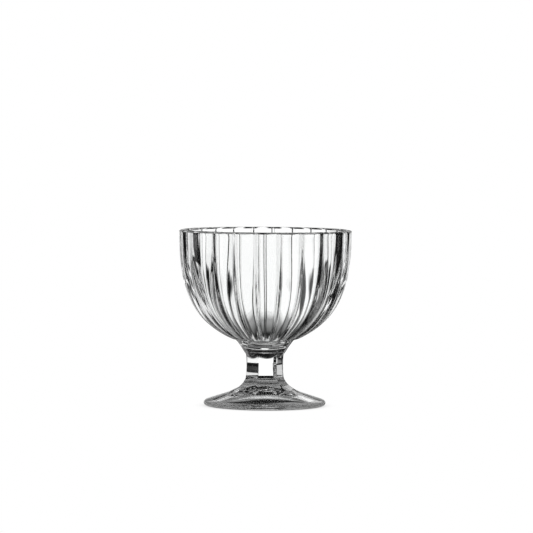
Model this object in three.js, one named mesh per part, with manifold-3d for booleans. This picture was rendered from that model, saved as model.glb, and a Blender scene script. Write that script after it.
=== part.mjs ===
// Footed ice cream cup in clear pressed glass: a fluted bowl, a six-sided stem and a round foot.
// Millimetres, +Z up. The origin is the centre of the ring that the foot rests on.
import * as THREE from 'three';
import { mergeVertices } from 'three/addons/utils/BufferGeometryUtils.js';
import Module from 'manifold-3d';

const wasm = await Module();
wasm.setup();

// Foot
const FOOT_RADIUS = 33.9; // widest, at the rounded edge
const FOOT_HEIGHT = 15.75; // resting ring to the seat of the stem
const FOOT_EDGE_HEIGHT = 3.5; // where the cone rolls over into the edge
const FOOT_EDGE_ROUND = 2.2; // depth of the rolled edge
const RING_WIDTH = 2.6; // flat ring that touches the table
const CONE_SLOPE = 19.1; // degrees above the table
const FLARE_RADIUS = 21.2; // where the concave flare runs out into the cone
const FLARE_KNEE = 1.8; // how far the flare leans out before it bends into the cone
const FLAT_RUNOUT = 0.72; // share of the flare that the six flats run down
const SEAT_RADIUS = 10.9; // round flare at the seat of the stem
const HOLLOW_HEIGHT = 8; // hollow underside, at the axis
const HOLLOW_CROWN = 5; // radius of the hollow's rounded top

// Stem
const STEM_HEIGHT = 14.25;
const STEM_SIDES = 6;
const STEM_END_FLAT = 9.37; // axis to a flat, at both ends
const STEM_WAIST_FLAT = 8.98; // axis to a flat, at mid height
const COLLAR_RADIUS = 11.5; // round collar under the bowl
const COLLAR_HEIGHT = 3.2;
const COLLAR_LOWER_RADIUS = 8.9;

// Bowl
const RIM_RADIUS = 48; // over the crests of the flutes
const BOWL_DEPTH = 61.2; // rim to the lower ends of the flutes
const BOSS_HEIGHT = 6.7; // collar to the lower ends of the flutes
const BOSS_RADIUS = 16.15; // at the lower ends of the flutes
const BOSS_MID_RADIUS = 13.6; // half way up the boss
const WALL = 2.6; // at the rim, behind a groove
const FLOOR_THICKNESS = 4; // collar to the bottom of the hollow
const LIP_HEIGHT = 1.1; // rounded rim
const FLUTES = 24;
const FLUTE_RISE = 1.75; // crest over groove, at the rim
const FLUTE_TAPER = 0.25; // 0 keeps that rise down the wall, 1 shrinks it with the radius
const FLUTE_FULLNESS = 3.6; // 2 for a round lobe, more for a flatter crest between narrow grooves
const FLUTE_END_LENGTH = 3.5; // rounded lower end of a flute, along the radius

// Curve shape of the bowl's wall: handle lengths as shares of the stretch that they bend
const WALL_UPRIGHT = 0.587;
const WALL_SWEEP = 0.812;
const BASE_SLOPE = 25.5; // degrees, outside of the bowl at the flute ends
const HOLLOW_UPRIGHT = 0.6;
const HOLLOW_FLOOR = 0.5;

// Facets
const ROUND_STEPS = 72;
const FLUTE_STEPS = 6;
const CURVE_STEPS = 6;
const WALL_STEPS = 11;
const LIP_STEPS = 4;

const STEM_BASE = FOOT_HEIGHT;
const STEM_TOP = STEM_BASE + STEM_HEIGHT;
const FLUTE_END = STEM_TOP + BOSS_HEIGHT;
const RIM_HEIGHT = FLUTE_END + BOWL_DEPTH;
const FLAT_TO_CORNER = 1 / Math.cos(Math.PI / STEM_SIDES);
const CUT_MARGIN = 1;

const point = (r, z) => new THREE.Vector2(r, z);
const degrees = THREE.MathUtils.degToRad;

// A closed revolve about Z. The first step starts at -Y and the steps run towards +X.
function revolve(profile, steps, turn = 0) {
  return new THREE.LatheGeometry(profile, steps, turn).rotateX(Math.PI / 2);
}

// A six-sided revolve of a profile of flats, with the middle of a flat facing -Y.
function revolveFlats(profile) {
  const corners = profile.map((p) => point(p.x * FLAT_TO_CORNER, p.y));
  return revolve(corners, STEM_SIDES, Math.PI / STEM_SIDES);
}

function toSolid(geometry) {
  const bare = geometry.clone();
  bare.deleteAttribute('normal');
  bare.deleteAttribute('uv');
  const merged = mergeVertices(bare, 1e-4);
  const vertProperties = new Float32Array(merged.attributes.position.array);
  const triVerts = new Uint32Array(merged.index.array);
  return new wasm.Manifold(new wasm.Mesh({ numProp: 3, vertProperties, triVerts }));
}

function toGeometry(solid) {
  const mesh = solid.getMesh();
  const geometry = new THREE.BufferGeometry();
  geometry.setAttribute('position', new THREE.BufferAttribute(mesh.vertProperties, 3));
  geometry.setIndex(new THREE.BufferAttribute(mesh.triVerts, 1));
  geometry.computeVertexNormals();
  return geometry;
}

// Foot: a cone with a rolled edge that flares up to the stem. Six flats run down the flare and die out on
// its round surface, and the underside is hollowed along with the cone, inside the resting ring.
function makeFoot() {
  const edgeRadius = FOOT_RADIUS - FOOT_EDGE_ROUND;
  const coneHeight = (r) => FOOT_EDGE_HEIGHT + (edgeRadius - r) * Math.tan(degrees(CONE_SLOPE));
  const kneeHeight = coneHeight(SEAT_RADIUS + FLARE_KNEE);
  const flare = new THREE.QuadraticBezierCurve(
    point(SEAT_RADIUS, FOOT_HEIGHT),
    point(SEAT_RADIUS + FLARE_KNEE, kneeHeight),
    point(FLARE_RADIUS, coneHeight(FLARE_RADIUS)),
  );
  const edgeMiddle = FOOT_EDGE_HEIGHT / 2;
  const edge = new THREE.EllipseCurve(
    edgeRadius, edgeMiddle,
    FOOT_EDGE_ROUND, edgeMiddle,
    degrees(90 - CONE_SLOPE), degrees(-90), true,
  );
  const ringInner = edgeRadius - RING_WIDTH;
  const hollow = new THREE.QuadraticBezierCurve(
    point(ringInner, 0),
    point(HOLLOW_CROWN, HOLLOW_HEIGHT),
    point(0, HOLLOW_HEIGHT),
  );
  const outline = [point(0, FOOT_HEIGHT), ...flare.getPoints(CURVE_STEPS), ...edge.getPoints(CURVE_STEPS)];
  const round = revolve([...outline, ...hollow.getPoints(CURVE_STEPS)].reverse(), ROUND_STEPS);

  const flatsEnd = flare.getPoint(FLAT_RUNOUT);
  const flats = new THREE.QuadraticBezierCurve(
    point(STEM_END_FLAT, FOOT_HEIGHT),
    point(STEM_END_FLAT + FLARE_KNEE, kneeHeight),
    flatsEnd,
  );
  const tent = revolveFlats([
    point(0, -CUT_MARGIN),
    point(FOOT_RADIUS + CUT_MARGIN, -CUT_MARGIN),
    point(FOOT_RADIUS + CUT_MARGIN, flatsEnd.y),
    ...flats.getPoints(CURVE_STEPS).reverse(),
    point(STEM_END_FLAT, FOOT_HEIGHT + CUT_MARGIN),
    point(0, FOOT_HEIGHT + CUT_MARGIN),
  ]);
  return toGeometry(toSolid(round).intersect(toSolid(tent)));
}

// Stem: a hexagon whose flats draw in to a waist, under a round collar that drapes over the flats' upper ends.
function makeStem() {
  const flats = new THREE.QuadraticBezierCurve(
    point(STEM_END_FLAT, STEM_BASE),
    point(2 * STEM_WAIST_FLAT - STEM_END_FLAT, (STEM_BASE + STEM_TOP) / 2),
    point(STEM_END_FLAT, STEM_TOP),
  );
  const shaft = revolveFlats([point(0, STEM_BASE), ...flats.getPoints(CURVE_STEPS), point(0, STEM_TOP)]);
  const collarBase = STEM_TOP - COLLAR_HEIGHT;
  const collar = revolve([
    point(0, collarBase),
    point(COLLAR_LOWER_RADIUS, collarBase),
    point(COLLAR_RADIUS, STEM_TOP),
    point(0, STEM_TOP),
  ], ROUND_STEPS);
  return toGeometry(toSolid(shaft).add(toSolid(collar)));
}

// Share of a flute's rise at an angle: 0 in the grooves, 1 on the crests, along a full lobe.
function lobe(angle) {
  const across = (angle * FLUTES) / (2 * Math.PI);
  const offCrest = Math.abs(2 * (across - Math.floor(across)) - 1);
  return 1 - offCrest ** FLUTE_FULLNESS;
}

// Bowl: a revolved shell whose outside is raised into flutes. They are full at the rim, narrow together
// towards the base and end in round beads above the boss that sits on the collar.
function makeBowl() {
  const rootRadius = RIM_RADIUS - FLUTE_RISE;
  const innerRadius = rootRadius - WALL;
  const lipRadius = (rootRadius + innerRadius) / 2;
  const lipBase = RIM_HEIGHT - LIP_HEIGHT;
  const hollowFloor = STEM_TOP + FLOOR_THICKNESS;
  const profile = [];
  const rises = [];
  const add = (p, rise) => {
    profile.push(p);
    rises.push(rise);
  };

  add(point(0, STEM_TOP), 0);
  const boss = new THREE.QuadraticBezierCurve(
    point(COLLAR_RADIUS, STEM_TOP),
    point(2 * BOSS_MID_RADIUS - (COLLAR_RADIUS + BOSS_RADIUS) / 2, STEM_TOP + BOSS_HEIGHT / 2),
    point(BOSS_RADIUS, FLUTE_END),
  );
  boss.getPoints(CURVE_STEPS).forEach((p) => add(p, 0));

  const sweep = (rootRadius - BOSS_RADIUS) * WALL_SWEEP;
  const wall = new THREE.CubicBezierCurve(
    point(BOSS_RADIUS, FLUTE_END),
    point(BOSS_RADIUS + sweep * Math.cos(degrees(BASE_SLOPE)), FLUTE_END + sweep * Math.sin(degrees(BASE_SLOPE))),
    point(rootRadius, RIM_HEIGHT - BOWL_DEPTH * WALL_UPRIGHT),
    point(rootRadius, lipBase),
  );
  wall.getPoints(WALL_STEPS).slice(1).forEach((p) => {
    const beadLeft = 1 - Math.min(1, (p.x - BOSS_RADIUS) / FLUTE_END_LENGTH);
    add(p, FLUTE_RISE * (p.x / rootRadius) ** FLUTE_TAPER * Math.sqrt(1 - beadLeft ** 2));
  });

  const lip = (radius, from, to, rise) => {
    for (let i = 1; i <= LIP_STEPS; i += 1) {
      const turn = THREE.MathUtils.lerp(from, to, i / LIP_STEPS);
      const out = lipRadius + (radius - lipRadius) * Math.cos(turn);
      add(point(out, lipBase + LIP_HEIGHT * Math.sin(turn)), rise(Math.cos(turn)));
    }
  };
  lip(rootRadius, 0, Math.PI / 2, (share) => FLUTE_RISE * (1 + share) / 2);
  lip(innerRadius, Math.PI / 2, 0, (share) => FLUTE_RISE * (1 - share) / 2);

  const hollow = new THREE.CubicBezierCurve(
    point(innerRadius, lipBase),
    point(innerRadius, lipBase - (lipBase - hollowFloor) * HOLLOW_UPRIGHT),
    point(innerRadius * HOLLOW_FLOOR, hollowFloor),
    point(0, hollowFloor),
  );
  hollow.getPoints(WALL_STEPS).slice(1).forEach((p) => add(p, 0));

  const steps = FLUTES * FLUTE_STEPS;
  const bowl = revolve(profile, steps);
  const places = bowl.attributes.position;
  for (let i = 0; i <= steps; i += 1) {
    const angle = (i / steps) * 2 * Math.PI;
    for (let j = 0; j < profile.length; j += 1) {
      const radius = profile[j].x + rises[j] * lobe(angle);
      const height = profile[j].y;
      places.setXYZ(i * profile.length + j, radius * Math.sin(angle), -radius * Math.cos(angle), height);
    }
  }
  bowl.computeVertexNormals();
  return bowl;
}

const clearGlass = () => new THREE.MeshStandardMaterial({
  color: 0xeef2f2,
  roughness: 0.03,
  metalness: 0,
  transparent: true,
  opacity: 0.35,
});

const cup = new THREE.Group();
const pieces = {
  round_foot: makeFoot(),
  hexagonal_stem: makeStem(),
  fluted_bowl: makeBowl(),
};
for (const [name, geometry] of Object.entries(pieces)) {
  const piece = new THREE.Mesh(geometry, clearGlass());
  piece.name = name;
  cup.add(piece);
}

export default cup;
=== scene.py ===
import math

import bpy
import numpy as np
from mathutils import Euler, Matrix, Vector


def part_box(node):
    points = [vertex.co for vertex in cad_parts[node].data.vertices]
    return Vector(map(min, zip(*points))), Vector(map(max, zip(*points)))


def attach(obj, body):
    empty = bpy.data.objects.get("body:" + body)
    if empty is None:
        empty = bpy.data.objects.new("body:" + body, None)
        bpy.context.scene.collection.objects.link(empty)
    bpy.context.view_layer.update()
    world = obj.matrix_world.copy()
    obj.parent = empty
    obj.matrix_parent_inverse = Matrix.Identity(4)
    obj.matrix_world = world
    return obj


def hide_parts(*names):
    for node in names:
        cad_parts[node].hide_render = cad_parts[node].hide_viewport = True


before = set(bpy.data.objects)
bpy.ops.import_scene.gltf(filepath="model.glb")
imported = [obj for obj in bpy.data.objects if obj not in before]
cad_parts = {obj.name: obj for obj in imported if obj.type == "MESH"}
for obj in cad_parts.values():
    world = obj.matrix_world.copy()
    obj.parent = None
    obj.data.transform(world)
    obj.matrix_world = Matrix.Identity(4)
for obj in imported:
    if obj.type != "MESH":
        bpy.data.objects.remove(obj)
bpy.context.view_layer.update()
mm = 0.001
degreesPerRadian = math.degrees(1)

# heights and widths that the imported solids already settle, in millimetres
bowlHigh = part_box("fluted_bowl")[1]
stemLow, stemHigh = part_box("hexagonal_stem")
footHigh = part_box("round_foot")[1]
rimHeight = bowlHigh.z / mm
stemTop = stemHigh.z / mm
stemBase = stemLow.z / mm
footRadius = footHigh.x / mm
collarRadius = stemHigh.x / mm
rimRadius = max(math.hypot(v.co.x, v.co.y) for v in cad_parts["fluted_bowl"].data.vertices) / mm
print(f"frame loaded: rim {rimRadius:.2f} mm at height {rimHeight:.2f} mm, foot {footRadius:.2f} mm")


# curves and grids


# Bezier curve of any order: repeated blending of neighbouring points, at every t at once
def bezier(points, steps):
    t = np.linspace(0, 1, steps + 1)[:, None]
    layer = [np.asarray(p, float)[None, :] for p in points]
    while len(layer) > 1:
        layer = [(1 - t) * a + t * b for a, b in zip(layer, layer[1:])]
    return layer[0]


# smaller or larger of two surfaces, with the corner between them rounded over about `soft` millimetres
def softMin(a, b, soft):
    return (a + b - np.sqrt((a - b) ** 2 + soft ** 2)) / 2


def softMax(a, b, soft):
    return (a + b + np.sqrt((a - b) ** 2 + soft ** 2)) / 2


# angles round the axis in `count` equal sectors, gathered towards the sectors' borders, where creases lie
def sectorAngles(count, steps, gather):
    v = np.linspace(-1, 1, steps, endpoint=False)
    inside = np.sign(v) * (1 - (1 - np.abs(v)) ** gather)
    sector = 2 * math.pi / count
    return ((np.arange(count)[:, None] + inside[None, :] / 2) * sector).ravel()


# closed skin from rings of points: row by row radius and height over the angles, with the first and last
# rows closed to the axis. Angle 0 faces -Y and grows towards +X. The faces that close the ends named in
# `seats` are the fused seats.
def ringSkin(name, radius, height, angle, seats=()):
    rows, columns = radius.shape
    x = radius * np.sin(angle)[None, :]
    y = -radius * np.cos(angle)[None, :]
    z = np.broadcast_to(height, radius.shape)
    rings = np.stack([x, y, z], axis=-1).reshape(-1, 3)
    poles = np.array([[0, 0, z[0].mean()], [0, 0, z[-1].mean()]])
    points = np.concatenate([rings, poles]) * mm
    here = np.arange(columns)
    there = (here + 1) % columns
    low = np.arange(rows - 1)[:, None] * columns
    corners = [low + here, low + there, low + columns + there, low + columns + here]
    quads = np.stack(corners, axis=-1).reshape(-1, 4)
    first, last = rows * columns, rows * columns + 1
    end = (rows - 1) * columns
    startFan = np.stack([np.full(columns, first), there, here], axis=-1)
    endFan = np.stack([np.full(columns, last), end + here, end + there], axis=-1)
    loops = np.concatenate([quads.ravel(), startFan.ravel(), endFan.ravel()])
    sizes = np.concatenate([np.full(len(quads), 4), np.full(2 * columns, 3)])
    starts = np.concatenate([[0], np.cumsum(sizes)[:-1]])
    mesh = bpy.data.meshes.new(name)
    mesh.vertices.add(len(points))
    mesh.vertices.foreach_set("co", points.ravel())
    mesh.loops.add(len(loops))
    mesh.loops.foreach_set("vertex_index", loops.astype(np.int32))
    mesh.polygons.add(len(sizes))
    mesh.polygons.foreach_set("loop_start", starts.astype(np.int32))
    seat = np.zeros(len(sizes), bool)
    if "start" in seats:
        seat[len(quads):len(quads) + columns] = True
    if "end" in seats:
        seat[len(quads) + columns:] = True
    mesh.polygons.foreach_set("use_smooth", ~seat)
    mesh.polygons.foreach_set("material_index", seat.astype(np.int32))
    mesh.update(calc_edges=True)
    mesh.validate()
    piece = bpy.data.objects.new(name, mesh)
    bpy.context.scene.collection.objects.link(piece)
    return piece


# bowl

# lengths in millimetres, slopes in degrees
bowlSet = dict(
    flutes=24, fluteSteps=24, fluteGather=1.3, fluteRise=1.75, fluteTaper=0.25, fluteEndLength=3.5,
    crestShare=0.54, grooveHalf=0.8, grooveSoft=0.32,
    bossHeight=6.7, bossRadius=16.15, bossMidRadius=13.6,
    wall=2.6, floorThickness=4, lipHeight=1.1,
    wallUpright=0.587, wallSweep=0.812, baseSlope=25.5, hollowUpright=0.6, hollowFloor=0.5,
    bossSteps=18, wallSteps=64, lipSteps=8, hollowSteps=56,
)


# height of a flute over its groove, 0 to 1: a round crest, by a parabola, on two shoulders that drop into
# a narrow groove, by tanh
def lobe(angle, s):
    across = angle * s["flutes"] / (2 * math.pi)
    fromGroove = 1 - np.abs(2 * (across - np.floor(across)) - 1)
    halfFlute = math.pi * (rimRadius - s["fluteRise"]) / s["flutes"]
    depth = math.tanh(s["grooveHalf"] / s["grooveSoft"])
    shoulder = np.tanh((fromGroove * halfFlute - s["grooveHalf"]) / s["grooveSoft"])
    crest = 1 - (1 - fromGroove) ** 2
    return s["crestShare"] * crest + (1 - s["crestShare"]) * (shoulder + depth) / (1 + depth)


# profile from the boss up the outside, over the lip and down the inside, with the flutes' rise added
# row by row
def makeBowl(s):
    rootRadius = rimRadius - s["fluteRise"]
    innerRadius = rootRadius - s["wall"]
    lipRadius = (rootRadius + innerRadius) / 2
    lipBase = rimHeight - s["lipHeight"]
    fluteEnd = stemTop + s["bossHeight"]
    hollowFloor = stemTop + s["floorThickness"]
    bossKnee = 2 * s["bossMidRadius"] - (collarRadius + s["bossRadius"]) / 2
    boss = bezier([
        (collarRadius, stemTop),
        (bossKnee, stemTop + s["bossHeight"] / 2),
        (s["bossRadius"], fluteEnd),
    ], s["bossSteps"])
    slope = math.radians(s["baseSlope"])
    sweep = (rootRadius - s["bossRadius"]) * s["wallSweep"]
    wall = bezier([
        (s["bossRadius"], fluteEnd),
        (s["bossRadius"] + sweep * math.cos(slope), fluteEnd + sweep * math.sin(slope)),
        (rootRadius, rimHeight - (rimHeight - fluteEnd) * s["wallUpright"]),
        (rootRadius, lipBase),
    ], s["wallSteps"])[1:]
    beadLeft = 1 - np.clip((wall[:, 0] - s["bossRadius"]) / s["fluteEndLength"], 0, 1)
    wallRise = s["fluteRise"] * (wall[:, 0] / rootRadius) ** s["fluteTaper"] * np.sqrt(1 - beadLeft ** 2)
    turn = np.linspace(0, math.pi / 2, s["lipSteps"] + 1)[1:]
    sine, cosine = np.sin(turn), np.cos(turn)
    outerLip = np.stack([
        lipRadius + (rootRadius - lipRadius) * cosine,
        lipBase + s["lipHeight"] * sine,
    ], 1)
    innerLip = np.stack([
        lipRadius + (innerRadius - lipRadius) * sine,
        lipBase + s["lipHeight"] * cosine,
    ], 1)
    outerLipRise = s["fluteRise"] * (1 + cosine) / 2
    innerLipRise = s["fluteRise"] * (1 - sine) / 2
    hollow = bezier([
        (innerRadius, lipBase),
        (innerRadius, lipBase - (lipBase - hollowFloor) * s["hollowUpright"]),
        (innerRadius * s["hollowFloor"], hollowFloor),
        (0, hollowFloor),
    ], s["hollowSteps"])[1:-1]
    profile = np.concatenate([boss, wall, outerLip, innerLip, hollow])
    rise = np.concatenate([
        np.zeros(len(boss)), wallRise, outerLipRise, innerLipRise, np.zeros(len(hollow)),
    ])
    angle = sectorAngles(s["flutes"], s["fluteSteps"], s["fluteGather"]) + math.pi / s["flutes"]
    radius = profile[:, :1] + rise[:, None] * lobe(angle, s)[None, :]
    return ringSkin("fluted_bowl_glass", radius, profile[:, 1:], angle, seats=["start"])


# stem

# lengths in millimetres
stemSet = dict(
    sides=6, sideSteps=44, sideGather=1.7, rows=110, endFlat=9.37, waistFlat=8.98, cornerRound=0.25,
    collarHeight=3.2, collarLowerRadius=8.9, collarSoft=0.2,
)


# radius of a hexagon with rounded corners: the nearer of the two flats either side of each angle
def hexagonRadius(flat, angle, s):
    sector = 2 * math.pi / s["sides"]
    off = np.abs((angle + sector / 2) % sector - sector / 2)
    return softMin(flat / np.cos(off), flat / np.cos(sector - off), s["cornerRound"])


# six flats drawn in to a waist, and the cone of the collar wherever it stands further out
def makeStem(s):
    knee = 2 * s["waistFlat"] - s["endFlat"]
    middle = (stemBase + stemTop) / 2
    flats = bezier([(s["endFlat"], stemBase), (knee, middle), (s["endFlat"], stemTop)], s["rows"])
    angle = sectorAngles(s["sides"], s["sideSteps"], s["sideGather"])
    shaft = hexagonRadius(flats[:, :1], angle[None, :], s)
    up = (flats[:, 1:] - (stemTop - s["collarHeight"])) / s["collarHeight"]
    collar = s["collarLowerRadius"] + (collarRadius - s["collarLowerRadius"]) * up
    radius = softMax(shaft, np.broadcast_to(collar, shaft.shape), s["collarSoft"])
    radius[-1] = collarRadius
    return ringSkin("hexagonal_stem_glass", radius, flats[:, 1:], angle, seats=["start", "end"])


# foot

# lengths in millimetres, slope in degrees
footSet = dict(
    edgeHeight=3.5, edgeRound=2.2, ringWidth=2.6, coneSlope=19.1,
    flareRadius=21.2, flareKnee=1.8, flatRunout=0.72, facetSoft=0.25,
    seatRadius=10.9, hollowHeight=8, hollowCrown=5,
    flareSteps=80, coneSteps=12, edgeSteps=24, ringSteps=6, hollowSteps=60,
)


# profile down the flare and the cone, round the edge, across the ring and up the hollow; the flare keeps
# inside six flats
def makeFoot(s, stem):
    edgeRadius = footRadius - s["edgeRound"]
    grade = math.tan(math.radians(s["coneSlope"]))
    knee = s["seatRadius"] + s["flareKnee"]
    kneeHeight = s["edgeHeight"] + (edgeRadius - knee) * grade
    flareHeight = s["edgeHeight"] + (edgeRadius - s["flareRadius"]) * grade
    flare = bezier([
        (s["seatRadius"], stemBase),
        (knee, kneeHeight),
        (s["flareRadius"], flareHeight),
    ], s["flareSteps"])
    turn = np.linspace(math.pi / 2 - math.radians(s["coneSlope"]), -math.pi / 2, s["edgeSteps"] + 1)
    half = s["edgeHeight"] / 2
    edge = np.stack([edgeRadius + s["edgeRound"] * np.cos(turn), half + half * np.sin(turn)], 1)
    cone = bezier([flare[-1], edge[0]], s["coneSteps"])[1:-1]
    ringInner = edgeRadius - s["ringWidth"]
    ring = bezier([(edgeRadius, 0), (ringInner, 0)], s["ringSteps"])[1:]
    hollow = bezier([
        (ringInner, 0),
        (s["hollowCrown"], s["hollowHeight"]),
        (0, s["hollowHeight"]),
    ], s["hollowSteps"])[1:-1]
    profile = np.concatenate([flare, cone, edge, ring, hollow])
    angle = sectorAngles(stem["sides"], stem["sideSteps"], stem["sideGather"])
    runout = flare[int(s["flatRunout"] * (len(flare) - 1))]
    flats = bezier([
        (stem["endFlat"], stemBase),
        (stem["endFlat"] + s["flareKnee"], kneeHeight),
        runout,
    ], s["flareSteps"])
    endGrade = (flats[-1, 0] - flats[-2, 0]) / (flats[-2, 1] - flats[-1, 1])
    flat = np.interp(profile[:, 1], flats[::-1, 1], flats[::-1, 0])
    flat += np.clip(flats[-1, 1] - profile[:, 1], 0, None) * endGrade
    hexagon = hexagonRadius(flat[:, None], angle[None, :], stem)
    turned = np.broadcast_to(profile[:, :1], hexagon.shape)
    onFlare = np.arange(len(profile))[:, None] < len(flare)
    radius = np.where(onFlare, softMin(hexagon, turned, s["facetSoft"]), turned)
    radius[0] = hexagonRadius(stem["endFlat"], angle, stem)
    return ringSkin("round_foot_glass", radius[::-1], profile[::-1, 1:], angle, seats=["end"])


bowl = makeBowl(bowlSet)
stem = makeStem(stemSet)
foot = makeFoot(footSet, stemSet)
for piece, node in ((bowl, "fluted_bowl"), (stem, "hexagonal_stem"), (foot, "round_foot")):
    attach(piece, "root")
    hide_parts(node)
print("glass pieces:", [(p.name, len(p.data.polygons)) for p in (bowl, stem, foot)])


# shader values


# one socket of a node tree: operators add Math nodes, node() adds any other node and returns one output
class Value:
    def __init__(self, tree, socket=None):
        self.tree, self.socket = tree, socket

    def node(self, kind, out=0, inputs=None, **settings):
        made = self.tree.nodes.new(kind)
        for key, value in settings.items():
            setattr(made, key, value)
        for key, value in (inputs or {}).items():
            if isinstance(value, Value):
                self.tree.links.new(value.socket, made.inputs[key])
            else:
                made.inputs[key].default_value = value
        return Value(self.tree, made.outputs[out])

    def math(self, operation, a, b=0.0):
        return self.node("ShaderNodeMath", inputs={0: a, 1: b}, operation=operation)

    def clamped(self):
        return self.node("ShaderNodeClamp", inputs={"Value": self})

    def feeds(self, socket):
        self.tree.links.new(self.socket, socket)

    def __add__(self, other):
        return self.math("ADD", self, other)

    __radd__ = __add__

    def __sub__(self, other):
        return self.math("SUBTRACT", self, other)

    def __rsub__(self, other):
        return self.math("SUBTRACT", other, self)

    def __mul__(self, other):
        return self.math("MULTIPLY", self, other)

    __rmul__ = __mul__

    def __truediv__(self, other):
        return self.math("DIVIDE", self, other)


# glass

# scales are noise cells per metre, height and depth are in metres
glassSet = dict(
    ior=1.52,
    tint=(0.985, 0.988, 0.987, 1), thickTint=(0.970, 0.978, 0.976, 1), tintScale=40, tintDetail=1.0,
    waveScale=70, waveDetail=1.0, waveDepth=0.00002,
    scuffScale=2500, scuffDetail=3.0, scuffHeight=0.0004, scuffRoughness=0.35,
)


# clear pressed glass: a faint uneven tint, the slow waves that the mould leaves, and scuffs on the ring
# that it rests on
def clearGlass(s):
    material = bpy.data.materials.new("clear_glass")
    material.use_nodes = True
    tree = material.node_tree
    shader = tree.nodes["Principled BSDF"]
    shader.inputs["IOR"].default_value = s["ior"]
    shader.inputs["Transmission Weight"].default_value = 1.0
    start = Value(tree)
    place = start.node("ShaderNodeTexCoord", out="Object")

    def noise(scale, detail):
        return start.node("ShaderNodeTexNoise", inputs={"Vector": place, "Scale": scale, "Detail": detail})

    cloud = noise(s["tintScale"], s["tintDetail"])
    shades = {0: cloud, 6: s["tint"], 7: s["thickTint"]}  # factor and the two colours
    start.node("ShaderNodeMix", out=2, inputs=shades, data_type="RGBA").feeds(shader.inputs["Base Color"])
    wave = noise(s["waveScale"], s["waveDetail"])
    bump = start.node("ShaderNodeBump", inputs={"Height": wave, "Distance": s["waveDepth"]})
    bump.feeds(shader.inputs["Normal"])
    height = start.node("ShaderNodeSeparateXYZ", out="Z", inputs={0: place})
    nearTable = (1 - height / s["scuffHeight"]).clamped()
    grit = noise(s["scuffScale"], s["scuffDetail"])
    (nearTable * grit * s["scuffRoughness"]).feeds(shader.inputs["Roughness"])
    return material


# the two faces of a fused seat: nothing to see, because the glass runs through
def fusedSeat():
    material = bpy.data.materials.new("fused_seat")
    material.use_nodes = True
    shader = material.node_tree.nodes["Principled BSDF"]
    shader.inputs["Alpha"].default_value = 0.0
    return material


glass = clearGlass(glassSet)
seat = fusedSeat()
for piece in (bowl, stem, foot):
    piece.data.materials.append(glass)
    piece.data.materials.append(seat)
print("materials:", glass.name, seat.name)


# camera

# distances in metres, angles in degrees, lens and sensor in millimetres
cameraSet = dict(
    distance=1.75, height=0.159, clipEnd=100, azimuth=-9.5, pitch=-2.67, yaw=-0.02, roll=0.35,
    lens=213, sensor=36,
)


# stands round the cup at the azimuth, looks level at its axis, then tilts, turns aside and rolls a little
def makeCamera(s):
    data = bpy.data.cameras.new("camera")
    data.lens = s["lens"]
    data.sensor_width = s["sensor"]
    data.clip_end = s["clipEnd"]
    camera = bpy.data.objects.new("camera", data)
    turn = math.radians(s["azimuth"])
    camera.location = (s["distance"] * math.sin(turn), -s["distance"] * math.cos(turn), s["height"])
    aim = Euler((math.radians(90 + s["pitch"]), 0, turn + math.radians(s["yaw"]))).to_matrix()
    camera.rotation_euler = (aim @ Matrix.Rotation(math.radians(s["roll"]), 3, "Z")).to_euler()
    bpy.context.scene.collection.objects.link(camera)
    bpy.context.scene.camera = camera


makeCamera(cameraSet)
print("camera", cameraSet["distance"], "m away with a", cameraSet["lens"], "mm lens")


# studio: a white sweep behind the cup between black flags, as clear glass is lit. The camera itself sees
# white all round, and the panels show only through the glass and in it.

studioSet = dict(
    straightBack=cameraSet["azimuth"],
    skyDark=0.008,
    # bearing from, to; elevation from, to; level; soft edge, all angles in degrees
    sky=[
        (-42, 42, -12, 2.5, 1.0, 4),  # sweep, low behind the cup
        (-16, 16, -12, 8, 0.4, 8),  # its glow, a little higher
        (-24, 0, 18, 24, 0.85, 1),  # strip light for the bands on the foot, left half
        (0, 24, 15, 25, 1.05, 1),  # and right half
        (-120, -80, -12, 2, 1.0, 3),  # sweep for a look from the right
    ],
    floorDark=0.008,
    # bearing from, to in degrees; distance from, to in millimetres; level; soft edge of the bearing
    floor=[
        (-16, 16, 450, 90000, 1.2, 4),  # sweep straight behind the cup
        (-4, 4, 70, 500, 1.2, 2),  # strip that shows in the stem's front flat
        (0, 42, 430, 90000, 1.1, 6),  # sweep on the right
        (-42, 0, 400, 90000, 1.1, 6),  # and on the left
        (24, 75, 70, 102, 0.9, 4),  # card by the cup, for the stem's side flats
        (-90, -22, 50, 125, 0.7, 8),  # behind the cup for a look from the front right, near
        (-78, -34, 110, 280, 0.8, 8),  # and further out
        (-118, -80, 330, 90000, 0.9, 6),  # sweep for a look from the right
        (95, 156, 52, 135, 0.8, 8),  # behind the cup for a look from the back left, near
        (102, 149, 120, 620, 0.9, 8),  # and further out
        (95, 158, 14, 36, 0.42, 50),  # light under the foot, front right
        (-88, -22, 14, 36, 0.42, 50),  # and back left
    ],
    # soft edge of a floor panel's distances: a share of the nearer one, and the least in millimetres
    edgeShare=0.1, edgeLeast=4,
    # soft shade under the foot in millimetres: radius from, to, fade past it, and the level that it rises to
    shadeInner=18, shadeOuter=34, shadeFade=4, shadeLevel=0.4,
    # half width of the floor and reach of the contact shadow in metres
    floorHalf=6.0, shadowReach=0.006, shadowDepth=0.3, shadowSamples=8,
)


# 1 between low and high, falling straight to 0 across each soft edge
def between(value, low, high, soft):
    return ((value - low) / soft + 0.5).clamped() * ((high - value) / soft + 0.5).clamped()


# degrees to the right of straight behind the cup, from -180 to 180
def bearing(x, y, s):
    turned = x.math("ARCTAN2", x, y) * degreesPerRadian + s["straightBack"]
    return x.math("FLOORED_MODULO", turned + 180, 360.0) - 180


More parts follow.
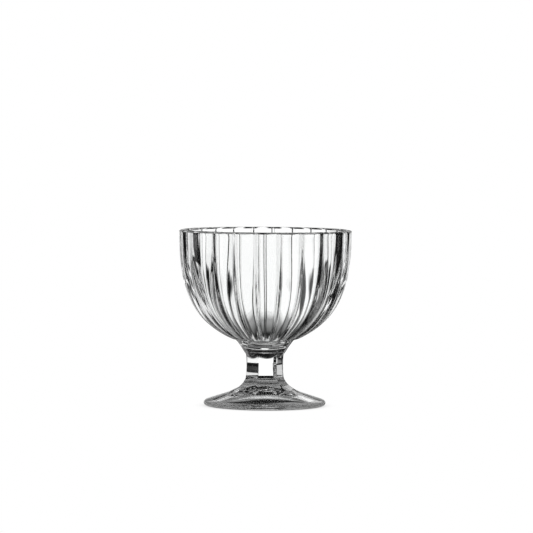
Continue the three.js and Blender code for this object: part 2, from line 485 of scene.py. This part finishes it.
# the surround: the brightest of the panels in each direction, and white for the camera
def makeWorld(s):
    world = bpy.data.worlds.new("studio")
    bpy.context.scene.world = world
    world.use_nodes = True
    world.cycles.sampling_method = "NONE"
    tree = world.node_tree
    background = tree.nodes["Background"]
    background.inputs["Color"].default_value = (1, 1, 1, 1)
    start = Value(tree)
    direction = start.node("ShaderNodeTexCoord", out="Generated")
    x, y, z = (start.node("ShaderNodeSeparateXYZ", out=axis, inputs={0: direction}) for axis in "XYZ")
    across = bearing(x, y, s)
    up = start.math("ARCSINE", z) * degreesPerRadian
    level = s["skyDark"]
    for left, right, low, high, strength, soft in s["sky"]:
        panel = between(across, left, right, soft) * between(up, low, high, soft) * strength
        level = start.math("MAXIMUM", level, panel)
    seen = start.node("ShaderNodeLightPath", out="Is Camera Ray")
    start.math("MAXIMUM", level, seen).feeds(background.inputs["Strength"])


# the floor: the brightest of the panels at each point, and for the camera white paper with a contact shadow
def makeFloor(s):
    half = s["floorHalf"]
    corners = [(-half, -half, 0), (half, -half, 0), (half, half, 0), (-half, half, 0)]
    mesh = bpy.data.meshes.new("floor")
    mesh.from_pydata(corners, [], [(0, 1, 2, 3)])
    floor = bpy.data.objects.new("floor", mesh)
    bpy.context.scene.collection.objects.link(floor)
    material = bpy.data.materials.new("floor_paper")
    material.use_nodes = True
    material.cycles.emission_sampling = "NONE"
    tree = material.node_tree
    tree.nodes.clear()
    start = Value(tree)
    place = start.node("ShaderNodeTexCoord", out="Object")
    x, y = (start.node("ShaderNodeSeparateXYZ", out=axis, inputs={0: place}) for axis in "XY")
    across = bearing(x, y, s)
    reach = start.math("SQRT", x * x + y * y) / mm
    level = s["floorDark"]
    for left, right, near, far, strength, soft in s["floor"]:
        edge = max(near * s["edgeShare"], s["edgeLeast"])
        panel = between(across, left, right, soft) * between(reach, near, far, edge) * strength
        level = start.math("MAXIMUM", level, panel)
    shade = ((reach - s["shadeInner"]) / (s["shadeOuter"] - s["shadeInner"])).clamped() * s["shadeLevel"]
    underFoot = between(reach, -s["shadeOuter"], s["shadeOuter"] + s["shadeFade"] / 2, s["shadeFade"])
    level = start.math("MAXIMUM", level, shade * underFoot)
    uncovered = start.node(
        "ShaderNodeAmbientOcclusion", out="AO",
        inputs={"Distance": s["shadowReach"]}, samples=s["shadowSamples"],
    )
    paper = 1 - (1 - uncovered) * s["shadowDepth"]
    seen = start.node("ShaderNodeLightPath", out="Is Camera Ray")
    light = start.node("ShaderNodeEmission", inputs={"Color": seen * paper + (1 - seen) * level})
    output = tree.nodes.new("ShaderNodeOutputMaterial")
    light.feeds(output.inputs["Surface"])
    mesh.materials.append(material)


makeFloor(studioSet)
makeWorld(studioSet)

# thick glass needs many bounces, or it goes black where the light turns inside it
renderSet = dict(glassBounces=32, glossyBounces=16)
scene = bpy.context.scene
scene.view_settings.view_transform = "Standard"
scene.cycles.max_bounces = renderSet["glassBounces"]
scene.cycles.transmission_bounces = renderSet["glassBounces"]
scene.cycles.transparent_max_bounces = renderSet["glassBounces"]
scene.cycles.glossy_bounces = renderSet["glossyBounces"]
print("studio ready:", len(studioSet["sky"]), "sky panels and", len(studioSet["floor"]), "floor panels")
